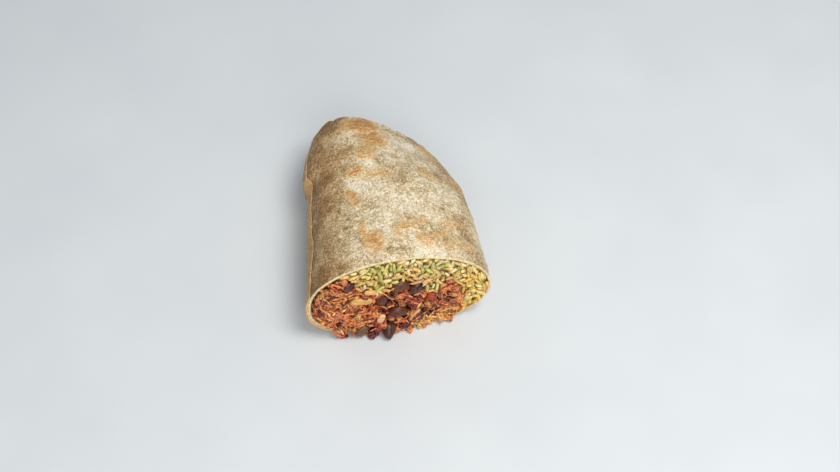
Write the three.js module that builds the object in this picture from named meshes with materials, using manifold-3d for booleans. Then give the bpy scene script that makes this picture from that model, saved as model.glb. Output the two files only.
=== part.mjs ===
// Half of a cut burrito, lying on its side: a flour tortilla rolled round rice, shredded meat, black beans
// and onion, folded shut at the back and cut straight across at the front.
// Millimetres, +Z up. The cut faces -Y and the folded end points to +Y.
import * as THREE from "three";
import { mergeVertices } from "three/addons/utils/BufferGeometryUtils.js";
import Module from "manifold-3d";

const wasm = await Module();
wasm.setup();

const { clamp, smoothstep, degToRad, radToDeg, lerp } = THREE.MathUtils;

// Size of the half, and the point under it that is the origin
const FACE_WIDTH = 84;
const FACE_HEIGHT = 51.5;
const LENGTH = 106;
const ORIGIN = new THREE.Vector3(3, 48, 0);

// Form of the roll: where a section is widest, and how it narrows to the folded end
const WIDEST_HEIGHT = 22;
const WIDEST_HEIGHT_AT_END = 19;
const WIDEST_FALL_SHARE = 0.3;
const DEPTH_BELOW_WIDEST = 25;
const BOTTOM_SQUARENESS = 2.3;
const CROWN_SHIFT = 1.5;
const CROWN_SHARPNESS = 1.5;
const END_LENGTH = 43;
const END_STEP_STRETCH = 1.2;
const END_ROUNDNESS_ACROSS = 0.51;
const END_ROUNDNESS_UP = 0.45;
const WIDTH_TAPER = 0.22;
const TOP_TAPER = 0.14;
const SHOULDER_DROP = 0.43;
const SHOULDER_LEVEL = 0.35;
const SHOULDER_START_SHARE = 0.35;
const LEAN = 0.06;
const END_SLANT = 0.45;
const SLANT_CENTRE = -10;
const SLANT_START = 20;

// The tortilla: one layer all round, and a flap over it from the seam on the left round underneath
const LAYER = 1.5;
const SECOND_LAYER = 1.2;
const END_WALL = 3;
const SEAM_ANGLE = 170;
const SEAM_FADE_FROM = 130;
const SEAM_SHARPNESS = 1.2;
const SEAM_FRONT_SHARE = 0.7;
const SEAM_BACK_SHARE = 0.88;
const LAP_END_FROM = 240;
const LAP_END_TO = 290;
const AROUND = 46;
const ALONG_INSIDE = 7;

// The left side: it narrows from the cut to a nick in the flap, and swells beyond it
const NICK_SHARE = 0.51;
const NICK_WIDTH = 0.035;
const SIDE_NARROWING = 1.2;
const SIDE_SWELL = 0.5;
const SWELL_END_SHARE = 0.62;
const SIDE_FROM_ANGLE = 125;
const SIDE_FULL_ANGLE = 160;
const SIDE_TO_ANGLE = 225;

// The folded end: turn within turn of tucked layers, each lying lower than the one round it
const TUCK_START_SHARE = 0.8;
const TUCK_TURNS = 2.4;
const TUCK_OFFSET = 1.15;
const TURN_DEPTH = 1.5;
const TURN_EDGE = 0.3;
const TUCK_DEPTH = 3 * TURN_DEPTH;

// Places of the outer rings: few along the barrel, two at the nick, and many round the end
const BARREL_SHARES = [0, 0.13, 0.26, 0.39, NICK_SHARE, NICK_SHARE + NICK_WIDTH];
const END_RINGS = 14;

// Clearances between neighbours
const GAP = 0.55;
const PIECE_GAP = 0.3;
const FRONT_GAP = 0.35;
const FLOOR_GAP = 0.05;
const ROOM_IN_FRONT = 30;

// The filling stands a little proud of the cut, and the meat has spilled over the rim at the bottom
const FILLING_PROUD = 0.5;
const MEAT_PROUD = 0.6;
const SPILL = 3.7;
const SPILL_HEIGHT = 22;
const SPILL_CENTRE = -8;
const SPILL_FULL_REACH = 8;
const SPILL_REACH = 32;

function seededRandom(seed) {
  let state = seed;
  return () => {
    state = (state + 0x6d2b79f5) | 0;
    let mixed = Math.imul(state ^ (state >>> 15), 1 | state);
    mixed = (mixed + Math.imul(mixed ^ (mixed >>> 7), 61 | mixed)) ^ mixed;
    return ((mixed ^ (mixed >>> 14)) >>> 0) / 4294967296;
  };
}

// A signed power, which turns a circle into a squarer oval
function squarer(value, squareness) {
  return Math.sign(value) * Math.abs(value) ** (2 / squareness);
}

// Point on the roll's surface, or on one lying inside it by the given inset, and never lower than its floor.
// Angle 0 is the right side and 90 degrees the top; share runs from 0 at the cut to 1 at the folded tip.
function rollPoint(angle, share, inset, endInset = inset, floor = inset) {
  const endLength = END_LENGTH - endInset;
  const barrel = LENGTH - END_LENGTH;
  const barrelShare = barrel / (barrel + END_LENGTH * END_STEP_STRETCH);
  const turn = (clamp((share - barrelShare) / (1 - barrelShare), 0, 1) * Math.PI) / 2;
  const along = share < barrelShare ? (share / barrelShare) * barrel : barrel + endLength * Math.sin(turn);
  const across = Math.max(Math.cos(turn), 0) ** END_ROUNDNESS_ACROSS;
  const upright = Math.max(Math.cos(turn), 0) ** END_ROUNDNESS_UP;

  const cos = Math.cos(angle);
  const sin = Math.sin(angle);
  const halfWidth = (FACE_WIDTH / 2) * (1 - (WIDTH_TAPER * along) / LENGTH) - inset;
  const fall = smoothstep(along, WIDEST_FALL_SHARE * LENGTH, LENGTH);
  const widest = lerp(WIDEST_HEIGHT, WIDEST_HEIGHT_AT_END, fall);
  const slope = smoothstep(along, SHOULDER_START_SHARE * LENGTH, LENGTH);
  const shoulder = SHOULDER_DROP * slope * (cos * across + SHOULDER_LEVEL);
  const above = (FACE_HEIGHT - WIDEST_HEIGHT) * (1 - (TOP_TAPER * along) / LENGTH - shoulder) - inset;
  const below = DEPTH_BELOW_WIDEST - inset;

  const upper = sin >= 0;
  const sideways = upper ? cos : squarer(cos, BOTTOM_SQUARENESS);
  const upwards = upper ? sin * above : squarer(sin, BOTTOM_SQUARENESS) * below;
  const crown = CROWN_SHIFT * clamp(sin, 0, 1) ** CROWN_SHARPNESS * across;
  const x = halfWidth * across * sideways - crown + LEAN * along;
  const z = Math.max(widest + upwards * upright, floor);
  const slant = END_SLANT * (x - SLANT_CENTRE) * smoothstep(along, SLANT_START, LENGTH);
  return new THREE.Vector3(x, along - slant, z);
}

// How far the upper layer lies inside the flap that overlaps it along the left side
function seamStep(angle, share) {
  const degrees = radToDeg(angle);
  const rise = smoothstep(degrees, SEAM_FADE_FROM, SEAM_ANGLE);
  const edge = 1 - smoothstep(degrees, SEAM_ANGLE, SEAM_ANGLE + SEAM_SHARPNESS);
  const fade = 1 - smoothstep(share, SEAM_FRONT_SHARE, SEAM_BACK_SHARE);
  return SECOND_LAYER * rise * edge * fade;
}

// How much thicker the wrap is where two layers lie on each other
function secondLayer(angle) {
  const degrees = radToDeg(angle);
  const rise = smoothstep(degrees, SEAM_FADE_FROM, SEAM_ANGLE);
  return SECOND_LAYER * rise * (1 - smoothstep(degrees, LAP_END_FROM, LAP_END_TO));
}

// How far the left side stands out, or in where it is negative
function sideSwell(angle, share) {
  const degrees = radToDeg(angle);
  const onSide =
    smoothstep(degrees, SIDE_FROM_ANGLE, SIDE_FULL_ANGLE) * (1 - smoothstep(degrees, 180, SIDE_TO_ANGLE));
  const beyond = smoothstep(share, NICK_SHARE, NICK_SHARE + NICK_WIDTH);
  const narrowing = SIDE_NARROWING * smoothstep(share, 0, NICK_SHARE) * (1 - beyond);
  const swelling = SIDE_SWELL * beyond * (1 - smoothstep(share, SWELL_END_SHARE, TUCK_START_SHARE));
  return onSide * (swelling - narrowing);
}

// How far a tucked layer lies inside the rounded end
function tuckDepth(angle, share) {
  const fromSeam = radToDeg(angle) - SEAM_ANGLE - SEAM_SHARPNESS / 2;
  const swirl = ((fromSeam + 360) % 360) / 360;
  const turns = Math.max(TUCK_TURNS * smoothstep(share, TUCK_START_SHARE, 1) + swirl - TUCK_OFFSET, 0);
  return TURN_DEPTH * (Math.floor(turns) + smoothstep(turns % 1, 0, TURN_EDGE));
}

// Angles round a section, with two close together at the seam so that its edge is crisp
function angleSteps(count) {
  const angles = evenShares(count).map((share) => 360 * share);
  const beside = angles.filter((angle) => Math.abs(angle - SEAM_ANGLE) > 2 * SEAM_SHARPNESS);
  beside.push(SEAM_ANGLE, SEAM_ANGLE + SEAM_SHARPNESS);
  return beside.sort((a, b) => a - b).map(degToRad);
}

function evenShares(count) {
  return Array.from({ length: count }, (_, i) => i / count);
}

function outsideShares() {
  const start = BARREL_SHARES.at(-1);
  return [...BARREL_SHARES, ...evenShares(END_RINGS).map((share) => lerp(start, 1, share)).slice(1)];
}

// Rings of points from the cut to the tip, and then the tip itself, as deep as the last turn of the end
function surfaceRings(angles, shares, pointAt) {
  return {
    rings: shares.map((share) => angles.map((angle) => pointAt(angle, share))),
    tip: pointAt(degToRad(SEAM_ANGLE), 1),
  };
}

class MeshData {
  constructor() {
    this.positions = [];
    this.triangles = [];
  }

  add(point) {
    this.positions.push(point.x, point.y, point.z);
    return this.positions.length / 3 - 1;
  }

  addRing(points) {
    return points.map((point) => this.add(point));
  }

  // Two triangles between each pair of neighbours; the near ring comes first for an outward surface
  joinRings(near, far) {
    for (let i = 0; i < near.length; i += 1) {
      const next = (i + 1) % near.length;
      this.triangles.push(near[i], far[i], far[next], near[i], far[next], near[next]);
    }
  }

  closeRing(ring, apex, outward) {
    for (let i = 0; i < ring.length; i += 1) {
      const next = (i + 1) % ring.length;
      this.triangles.push(...(outward ? [ring[i], apex, ring[next]] : [ring[i], ring[next], apex]));
    }
  }

  geometry() {
    const geometry = new THREE.BufferGeometry();
    geometry.setAttribute("position", new THREE.Float32BufferAttribute(this.positions, 3));
    geometry.setIndex(this.triangles);
    return geometry;
  }
}

// The tortilla is a cup: outer surface, inner surface, and the cut rim between them
function tortillaGeometry() {
  const angles = angleSteps(AROUND);
  const outside = surfaceRings(angles, outsideShares(), (angle, share) => {
    const relief = seamStep(angle, share) + tuckDepth(angle, share) - sideSwell(angle, share);
    return rollPoint(angle, share, relief, relief, 0);
  });
  const inside = surfaceRings(angles, evenShares(ALONG_INSIDE), (angle, share) =>
    rollPoint(angle, share, LAYER + secondLayer(angle) - sideSwell(angle, share), END_WALL + TUCK_DEPTH),
  );
  const mesh = new MeshData();
  const outer = outside.rings.map((ring) => mesh.addRing(ring));
  const inner = inside.rings.map((ring) => mesh.addRing(ring));
  for (let j = 1; j < outer.length; j += 1) {
    mesh.joinRings(outer[j - 1], outer[j]);
  }
  for (let j = 1; j < inner.length; j += 1) {
    mesh.joinRings(inner[j], inner[j - 1]);
  }
  mesh.closeRing(outer.at(-1), mesh.add(outside.tip), true);
  mesh.closeRing(inner.at(-1), mesh.add(inside.tip), false);
  mesh.joinRings(inner[0], outer[0]);
  return mesh.geometry();
}

// The hollow of the tortilla as a solid, a clearance smaller all round and standing proud of the cut
function hollowGeometry(gap) {
  const angles = evenShares(AROUND / 2).map((share) => 2 * Math.PI * share);
  const hollow = surfaceRings(angles, evenShares(ALONG_INSIDE), (angle, share) => {
    const wall = LAYER + secondLayer(angle) - sideSwell(angle, share);
    return rollPoint(angle, share, wall + gap, END_WALL + TUCK_DEPTH + gap);
  });
  const front = hollow.rings[0].map((point) => new THREE.Vector3(point.x, -FILLING_PROUD, point.z));
  const mesh = new MeshData();
  const rings = [front, ...hollow.rings].map((ring) => mesh.addRing(ring));
  for (let j = 1; j < rings.length; j += 1) {
    mesh.joinRings(rings[j - 1], rings[j]);
  }
  mesh.closeRing(rings.at(-1), mesh.add(hollow.tip), true);
  mesh.closeRing(rings[0], mesh.add(new THREE.Vector3(0, -FILLING_PROUD, WIDEST_HEIGHT)), false);
  return mesh.geometry();
}

function toSolid(geometry) {
  geometry.deleteAttribute("normal");
  geometry.deleteAttribute("uv");
  const merged = mergeVertices(geometry, 1e-4);
  return new wasm.Manifold(
    new wasm.Mesh({
      numProp: 3,
      vertProperties: new Float32Array(merged.attributes.position.array),
      triVerts: new Uint32Array(merged.index.array),
    }),
  );
}

function toGeometry(solid) {
  const { vertProperties, triVerts } = solid.getMesh();
  const geometry = new THREE.BufferGeometry();
  geometry.setAttribute("position", new THREE.BufferAttribute(vertProperties, 3));
  geometry.setIndex(new THREE.BufferAttribute(triVerts, 1));
  return geometry;
}

// Of a solid that a cut has broken up, only its largest piece
function largest(solid) {
  return solid.decompose().sort((a, b) => b.volume() - a.volume())[0];
}

function blockSolid(low, high) {
  const size = new THREE.Vector3().subVectors(high, low);
  const geometry = new THREE.BoxGeometry(size.x, size.y, size.z);
  geometry.translate(low.x + size.x / 2, low.y + size.y / 2, low.z + size.z / 2);
  return toSolid(geometry);
}

// Line between the meat below and the rice above, as seen on the cut, x across and z up
const MEAT_LINE = [
  [-34, 54],
  [-28, 44],
  [-22, 40],
  [-18.5, 33],
  [-12.5, 30],
  [-7, 28.5],
  [-3, 33],
  [2, 35],
  [8, 32],
  [11.5, 26],
  [15.5, 23],
  [19, 27.5],
  [23.5, 30],
  [28, 27],
  [30.5, 18],
  [28.5, 8],
  [25, -6],
];
const MEAT_LINE_STEPS = 24;
const MEAT_LEFT = -60;
const MEAT_TOP = 54;
const MEAT_FLOOR = -10;
const MEAT_SWAY = 3;
const MEAT_SWAY_LENGTH = 15;
const MEAT_SINK = 4;
const ZONE_STEPS = 5;
const ZONE_BEYOND = 20;

const meatCurve = new THREE.SplineCurve(MEAT_LINE.map(([x, z]) => new THREE.Vector2(x, z)));

// The meat's share of the roll: the line above run along it, moved out or in by a clearance
function meatZone(clearance) {
  const points = [];
  for (let i = 0; i <= MEAT_LINE_STEPS; i += 1) {
    const point = meatCurve.getPoint(i / MEAT_LINE_STEPS);
    const tangent = meatCurve.getTangent(i / MEAT_LINE_STEPS);
    points.push(point.add(new THREE.Vector2(-tangent.y, tangent.x).multiplyScalar(clearance)));
  }
  points.push(new THREE.Vector2(points.at(-1).x, MEAT_FLOOR));
  points.push(new THREE.Vector2(MEAT_LEFT, MEAT_FLOOR));
  points.push(new THREE.Vector2(MEAT_LEFT, points[0].y));
  const geometry = new THREE.ExtrudeGeometry(new THREE.Shape(points), {
    depth: LENGTH + 2 * ZONE_BEYOND,
    steps: ZONE_STEPS,
    bevelEnabled: false,
  });
  geometry.rotateX(Math.PI / 2);
  geometry.translate(0, LENGTH + ZONE_BEYOND, 0);
  const positions = geometry.attributes.position;
  for (let i = 0; i < positions.count; i += 1) {
    const wave = smoothstep(positions.getY(i), 0, LENGTH / 2);
    positions.setX(i, positions.getX(i) + MEAT_SWAY * wave * Math.sin(positions.getY(i) / MEAT_SWAY_LENGTH));
    positions.setZ(i, positions.getZ(i) - MEAT_SINK * wave);
  }
  return toSolid(geometry);
}

// A cooked black bean: a plump oval, bent into a kidney
const BEAN_LENGTH = 10;
const BEAN_WIDTH = 7;
const BEAN_THICKNESS = 5.6;
const BEAN_BEND = 0.04;
const BEAN_SIDES = 10;
const BEAN_RINGS = 7;

function beanGeometry({ at, turn, tilt = 0, scale = 1 }, extra = 0) {
  const geometry = new THREE.SphereGeometry(1, BEAN_SIDES, BEAN_RINGS);
  const positions = geometry.attributes.position;
  const half = [BEAN_LENGTH / 2, BEAN_THICKNESS / 2, BEAN_WIDTH / 2].map((size) => size * scale + extra);
  for (let i = 0; i < positions.count; i += 1) {
    const x = positions.getX(i) * half[0];
    const bend = BEAN_BEND * x * x - (BEAN_BEND * half[0] * half[0]) / 3;
    positions.setXYZ(i, x, positions.getZ(i) * -half[1], positions.getY(i) * half[2] - bend);
  }
  geometry.rotateZ(degToRad(tilt));
  geometry.rotateY(degToRad(-turn));
  geometry.translate(...at);
  return geometry;
}

const BEANS = [
  { at: [0.2, 0.8, 31.4], turn: 28 },
  { at: [8.3, 0.5, 28], turn: -20, scale: 0.88, tilt: 30 },
  { at: [-7.6, 1, 22.4], turn: 80, scale: 0.86 },
  { at: [-5.2, -4.1, 4.1], turn: 35, scale: 0.95, tilt: 55 },
  { at: [-18, -2.4, 4.6], turn: 60, scale: 0.8 },
  { at: [-0.9, -0.9, 13.6], turn: -15, scale: 0.95 },
  { at: [-22.9, 0.9, 36.8], turn: 40, scale: 0.72 },
];

// A slip of cooked onion: a thin bar, curved like the layer of the bulb that it was cut from
const ONION_THICKNESS = 1.7;
const ONION_CURL = 0.04;
const ONION_NARROWING = 0.7;
const ONION_STEPS = 5;

function onionGeometry({ at, length, width, turn, curl = ONION_CURL }, extra = 0) {
  const size = [length, ONION_THICKNESS, width].map((side) => side + 2 * extra);
  const geometry = new THREE.BoxGeometry(...size, ONION_STEPS, 1, 2);
  geometry.deleteAttribute("normal");
  geometry.deleteAttribute("uv");
  const positions = geometry.attributes.position;
  for (let i = 0; i < positions.count; i += 1) {
    const x = positions.getX(i);
    const narrow = Math.sqrt(1 - ONION_NARROWING * (x / (length / 2 + extra)) ** 2);
    positions.setZ(i, positions.getZ(i) * narrow - curl * x * x);
    positions.setY(i, positions.getY(i) + (curl * x * x) / 2);
  }
  geometry.rotateY(degToRad(-turn));
  geometry.translate(...at);
  return geometry;
}

const ONIONS = [
  { at: [-16.9, -0.6, 25.6], length: 10, width: 4.6, turn: -6, curl: 0.03 },
  { at: [-9, -2.6, 11.8], length: 6.4, width: 3.4, turn: 75 },
  { at: [-12.8, -0.8, 31.4], length: 5.6, width: 2.4, turn: -12 },
  { at: [5.7, -2, 9.8], length: 9.5, width: 1.7, turn: 58 },
];

// An even draw between two values
function between(low, high, random) {
  return low + (high - low) * random();
}

// A crumb of meat: an uneven lump, stretched along its own three axes
const LUMP_STRETCH = [
  [0.8, 1.4],
  [0.8, 1.1],
  [0.75, 1.25],
];
const LUMP_UNEVENNESS = 0.22;

function lumpGeometry(at, radius, random, extra) {
  const geometry = new THREE.OctahedronGeometry(1, 1);
  geometry.deleteAttribute("normal");
  geometry.deleteAttribute("uv");
  const lump = mergeVertices(geometry, 1e-4);
  const positions = lump.attributes.position;
  const stretch = new THREE.Vector3(...LUMP_STRETCH.map(([low, high]) => between(low, high, random)));
  for (let i = 0; i < positions.count; i += 1) {
    const size = radius * between(1 - LUMP_UNEVENNESS, 1 + LUMP_UNEVENNESS, random) + extra;
    const point = new THREE.Vector3().fromBufferAttribute(positions, i);
    point.multiply(stretch).multiplyScalar(size);
    positions.setXYZ(i, point.x, point.y, point.z);
  }
  lump.rotateY(2 * Math.PI * random());
  lump.translate(at.x, at.y, at.z);
  return lump;
}

// A spindle round the X axis, bent up at both ends: a shred of meat, or a grain of rice
function spindleGeometry({ length, thickness, bend, sides, rings }) {
  const mesh = new MeshData();
  const made = [];
  for (let j = 1; j <= rings; j += 1) {
    const x = (j / (rings + 1) - 0.5) * length;
    const radius = (thickness / 2) * Math.sin((Math.PI * j) / (rings + 1)) ** 0.5;
    const ring = [];
    for (let i = 0; i < sides; i += 1) {
      const angle = (2 * Math.PI * i) / sides;
      ring.push(new THREE.Vector3(x, radius * Math.cos(angle), radius * Math.sin(angle) + bend * x * x));
    }
    made.push(mesh.addRing(ring));
  }
  for (let j = 1; j < rings; j += 1) {
    mesh.joinRings(made[j], made[j - 1]);
  }
  const endLift = (bend * length * length) / 4;
  mesh.closeRing(made[0], mesh.add(new THREE.Vector3(-length / 2, 0, endLift)), true);
  mesh.closeRing(made.at(-1), mesh.add(new THREE.Vector3(length / 2, 0, endLift)), false);
  return mesh.geometry();
}

// Scattered points on the cut, no two closer than the spacing, kept where the test says
const TRIES_PER_POINT = 60;

function scatter(count, spacing, random, keeps) {
  const points = [];
  for (let attempt = 0; attempt < count * TRIES_PER_POINT && points.length < count; attempt += 1) {
    const x = (random() - 0.5) * FACE_WIDTH;
    const z = random() * FACE_HEIGHT;
    const clear = points.every((point) => Math.hypot(point.x - x, point.z - z) > spacing);
    if (clear && keeps(x, z)) {
      points.push({ x, z });
    }
  }
  return points;
}

// Whether a point of the cut lies inside the wrap, at least a margin from it
function insideWrap(x, z, margin) {
  const up = z - WIDEST_HEIGHT;
  const angle = Math.atan2(up * (FACE_WIDTH / FACE_HEIGHT), x);
  const edge = rollPoint(angle < 0 ? angle + 2 * Math.PI : angle, 0, LAYER + secondLayer(Math.PI) + margin);
  return Math.hypot(x, up) < Math.hypot(edge.x, edge.z - WIDEST_HEIGHT);
}

// Whether a point of the cut is on the meat's side of the line
const meatOutline = [
  ...meatCurve.getPoints(2 * MEAT_LINE_STEPS),
  new THREE.Vector2(MEAT_LEFT, MEAT_FLOOR),
  new THREE.Vector2(MEAT_LEFT, MEAT_TOP),
];

function inMeat(x, z) {
  let inside = false;
  for (let i = 0; i < meatOutline.length; i += 1) {
    const a = meatOutline[i];
    const b = meatOutline.at(i - 1);
    if (a.y > z !== b.y > z && x < ((b.x - a.x) * (z - a.y)) / (b.y - a.y) + a.x) {
      inside = !inside;
    }
  }
  return inside;
}

// How far the meat stands out of the cut at a height, most at the bottom, where it has spilled over the rim
function meatFront(x, z) {
  const low = 1 - smoothstep(z, 0, SPILL_HEIGHT);
  const middle = 1 - smoothstep(Math.abs(x - SPILL_CENTRE), SPILL_FULL_REACH, SPILL_REACH);
  return -(MEAT_PROUD + SPILL * low * middle);
}

function joined(core, pieces) {
  return pieces.reduce((solid, piece) => solid.add(piece), core);
}

// Where filling may be: the hollow, and the space before the cut down to what carries the half
const hollow = toSolid(hollowGeometry(GAP));
const inFront = blockSolid(
  new THREE.Vector3(-FACE_WIDTH, -ROOM_IN_FRONT, FLOOR_GAP),
  new THREE.Vector3(FACE_WIDTH, -FRONT_GAP, FACE_HEIGHT),
);
const room = hollow.add(inFront);

const beans = BEANS.map((bean) => toSolid(beanGeometry(bean)).intersect(room));
const onions = ONIONS.map((onion) => toSolid(onionGeometry(onion)).intersect(room));
const setPieces = [
  ...BEANS.map((bean) => toSolid(beanGeometry(bean, PIECE_GAP))),
  ...ONIONS.map((onion) => toSolid(onionGeometry(onion, PIECE_GAP))),
];
const setPiecesSpace = joined(setPieces[0], setPieces.slice(1));

// Meat: what lies under the line, with crumbs and shreds on the cut and over the rim
const MEAT_SEED = 11;
const CRUMB_COUNT = 37;
const CRUMB_SPACING = 4.8;
const CRUMB_RADIUS = [2.2, 3.2];
const CRUMB_MARGIN = 2.2;
const SHRED_COUNT = 9;
const SHRED_SPACING = 9;
const SHRED_LENGTH = [7, 12];
const SHRED_THICKNESS = [2.1, 2.7];
const SHRED_BEND = 0.03;
const SHRED_TILT = 0.15;
const SHRED_OUT = 0.5;
const SPILL_LEFT = -29;
const SPILL_RIGHT = 24;
const SPILL_STEP = 5.5;
const SPILL_RADIUS = [2.2, 3];
const SPILL_BACK = 1.4;
const SPILL_LIFT = [1.2, 1.8];

function crumbSolids(random, extra) {
  const onMeat = (x, z) => inMeat(x, z) && insideWrap(x, z, CRUMB_MARGIN);
  return scatter(CRUMB_COUNT, CRUMB_SPACING, random, onMeat).map(({ x, z }) => {
    const spot = new THREE.Vector3(x, meatFront(x, z), z);
    return toSolid(lumpGeometry(spot, between(...CRUMB_RADIUS, random), random, extra));
  });
}

function shredSolids(random, extra) {
  const onMeat = (x, z) => inMeat(x, z) && insideWrap(x, z, CRUMB_MARGIN);
  return scatter(SHRED_COUNT, SHRED_SPACING, random, onMeat).map(({ x, z }) => {
    const length = between(...SHRED_LENGTH, random);
    const thickness = between(...SHRED_THICKNESS, random) + 2 * extra;
    const shred = spindleGeometry({ length, thickness, bend: SHRED_BEND, sides: 5, rings: 4 });
    shred.rotateX(2 * Math.PI * random());
    shred.rotateZ(between(-SHRED_TILT, SHRED_TILT, random));
    shred.rotateY(Math.PI * random());
    shred.translate(x, meatFront(x, z) - SHRED_OUT, z);
    return toSolid(shred);
  });
}

function spillSolids(random, extra) {
  const solids = [];
  for (let x = SPILL_LEFT; x < SPILL_RIGHT; x += SPILL_STEP) {
    const radius = between(...SPILL_RADIUS, random);
    const spot = new THREE.Vector3(x, meatFront(x, 0) + SPILL_BACK, between(...SPILL_LIFT, random));
    solids.push(toSolid(lumpGeometry(spot, radius, random, extra)));
  }
  return solids;
}

function meatSolid(extra) {
  const random = seededRandom(MEAT_SEED);
  const core = hollow.intersect(meatZone(extra - PIECE_GAP / 2));
  const pieces = [crumbSolids, shredSolids, spillSolids].flatMap((made) => made(random, extra));
  return joined(core, pieces.map((piece) => piece.intersect(room))).subtract(setPiecesSpace);
}

const meat = largest(meatSolid(0));

// Rice: the rest of the hollow, with the grains that show on the cut
const GRAIN_SEED = 29;
const GRAIN_COUNT = 111;
const GRAIN_SPACING = 2.45;
const GRAIN_LENGTH = [4.6, 6.2];
const GRAIN_THICKNESS = [1.7, 2];
const GRAIN_BEND = 0.012;
const GRAIN_TILT = 0.35;
const GRAIN_MARGIN = 1.6;
const GRAIN_OUT = 0.7;

function riceSolid() {
  const random = seededRandom(GRAIN_SEED);
  const meatSpace = meatSolid(PIECE_GAP).add(setPiecesSpace);
  const pieces = [];
  const onRice = (x, z) => !inMeat(x, z) && insideWrap(x, z, GRAIN_MARGIN);
  for (const { x, z } of scatter(GRAIN_COUNT, GRAIN_SPACING, random, onRice)) {
    const length = between(...GRAIN_LENGTH, random);
    const thickness = between(...GRAIN_THICKNESS, random);
    const grain = spindleGeometry({ length, thickness, bend: GRAIN_BEND, sides: 5, rings: 3 });
    grain.rotateX(2 * Math.PI * random());
    grain.rotateZ(between(-GRAIN_TILT, GRAIN_TILT, random));
    grain.rotateY(Math.PI * random());
    grain.translate(x, -FILLING_PROUD - GRAIN_OUT * random(), z);
    const solid = toSolid(grain).intersect(room);
    if (solid.intersect(meatSpace).isEmpty()) {
      pieces.push(solid);
    }
  }
  return joined(hollow.subtract(meatZone(PIECE_GAP / 2)).subtract(meatSpace), pieces);
}

const rice = largest(riceSolid());

function surface(color, roughness) {
  return new THREE.MeshStandardMaterial({ color, roughness, metalness: 0, flatShading: true });
}

const tortillaSurface = surface(0xd9cfb8, 0.8);
const riceSurface = surface(0xcdbb7c, 0.55);
const meatSurface = surface(0x9a4a2c, 0.6);
const beanSurface = surface(0x2e1a1c, 0.4);
const onionSurface = surface(0xd8b483, 0.4);

const burrito = new THREE.Group();

function place(name, geometry, material) {
  const mesh = new THREE.Mesh(geometry, material);
  mesh.name = name;
  mesh.position.copy(ORIGIN).negate();
  mesh.geometry.computeVertexNormals();
  burrito.add(mesh);
}

place("tortilla", tortillaGeometry(), tortillaSurface);
place("rice", toGeometry(rice), riceSurface);
place("meat", toGeometry(meat), meatSurface);
beans.forEach((bean, i) => place(`bean_${i + 1}`, toGeometry(bean), beanSurface));
onions.forEach((onion, i) => place(`onion_${i + 1}`, toGeometry(onion), onionSurface));

export default burrito;
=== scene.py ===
"""Half of a cut burrito on a pale floor: a toasted flour tortilla round rice, meat, black beans and onion.

Lengths are in millimetres in the part's own layout (the cut at y = 0, the folded end at +y), and are turned
into the frame's metres where a mesh is made.
"""
import math

import bmesh
import bpy
import numpy as np
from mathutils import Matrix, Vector


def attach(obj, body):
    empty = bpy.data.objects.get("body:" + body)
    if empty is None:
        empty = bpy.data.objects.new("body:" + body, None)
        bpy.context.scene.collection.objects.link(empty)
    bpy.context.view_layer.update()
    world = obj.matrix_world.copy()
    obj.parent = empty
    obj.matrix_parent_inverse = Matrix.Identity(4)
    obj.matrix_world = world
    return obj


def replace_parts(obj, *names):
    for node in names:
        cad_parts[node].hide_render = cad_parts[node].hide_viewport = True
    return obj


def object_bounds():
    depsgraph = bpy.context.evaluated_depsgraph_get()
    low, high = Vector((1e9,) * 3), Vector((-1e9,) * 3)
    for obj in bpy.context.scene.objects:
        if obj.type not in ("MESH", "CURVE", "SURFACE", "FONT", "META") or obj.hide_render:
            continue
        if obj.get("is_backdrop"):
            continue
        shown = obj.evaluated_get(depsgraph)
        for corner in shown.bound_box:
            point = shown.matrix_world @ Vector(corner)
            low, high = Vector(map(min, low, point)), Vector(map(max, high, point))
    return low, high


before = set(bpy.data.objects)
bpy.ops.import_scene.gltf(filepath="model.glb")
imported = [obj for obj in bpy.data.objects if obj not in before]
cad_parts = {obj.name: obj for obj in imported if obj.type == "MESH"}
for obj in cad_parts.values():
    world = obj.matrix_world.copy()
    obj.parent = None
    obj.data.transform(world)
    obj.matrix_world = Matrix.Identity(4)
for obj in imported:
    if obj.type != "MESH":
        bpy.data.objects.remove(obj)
cad_box = [list(corner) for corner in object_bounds()]

MM = 0.001
ORIGIN = np.array([3.0, 48.0, 0.0])

# Form of the roll, as in the frame
FACE_WIDTH = 84.0
FACE_HEIGHT = 51.5
LENGTH = 106.0
WIDEST_HEIGHT = 22.0
WIDEST_HEIGHT_AT_END = 19.0
DEPTH_BELOW_WIDEST = 25.0
BOTTOM_SQUARENESS = 2.3
CROWN_SHIFT = 1.5
END_LENGTH = 43.0
END_ROUNDNESS_ACROSS = 0.51
END_ROUNDNESS_UP = 0.45
WIDTH_TAPER = 0.22
TOP_TAPER = 0.14
SHOULDER_DROP = 0.43
LEAN = 0.06
END_SLANT = 0.45
SLANT_CENTRE = -10.0
SLANT_START = 20.0

# The tortilla's layers
LAYER = 1.3
LAP = 1.2
LAP_START = 0.78
LAP_FADE = 0.93
SEAM_ANGLE = 157.0
END_WALL = 3.0

# The left side: it narrows from the cut to a nick in the flap, and swells beyond it
NICK_SHARE = 0.515
NICK_WIDTH = 0.04
SIDE_NARROWING = 1.2
SIDE_SWELL = 0.5

# The folded end: turn within turn of tucked layers
FOLD_ANGLE = 170.6
TUCK_START = 0.8
TUCK_TURNS = 2.4
TUCK_OFFSET = 1.15
TURN_DEPTH = 1.5

# Camera
CAMERA_AZIMUTH = -11.0
CAMERA_ELEVATION = 53.5
CAMERA_DISTANCE = 590.0
CAMERA_TARGET = (15.4, 30.4, 24.2)
CAMERA_LENS = 55.0


def smooth(low, high, value):
    """0 below low, 1 above high, and an even rise between them."""
    t = np.clip((value - low) / (high - low), 0.0, 1.0)
    return t * t * (3.0 - 2.0 * t)


def between(value, low, rise, fall, high):
    """1 from rise to fall, and 0 below low and above high."""
    return smooth(low, rise, value) * (1.0 - smooth(fall, high, value))


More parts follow.
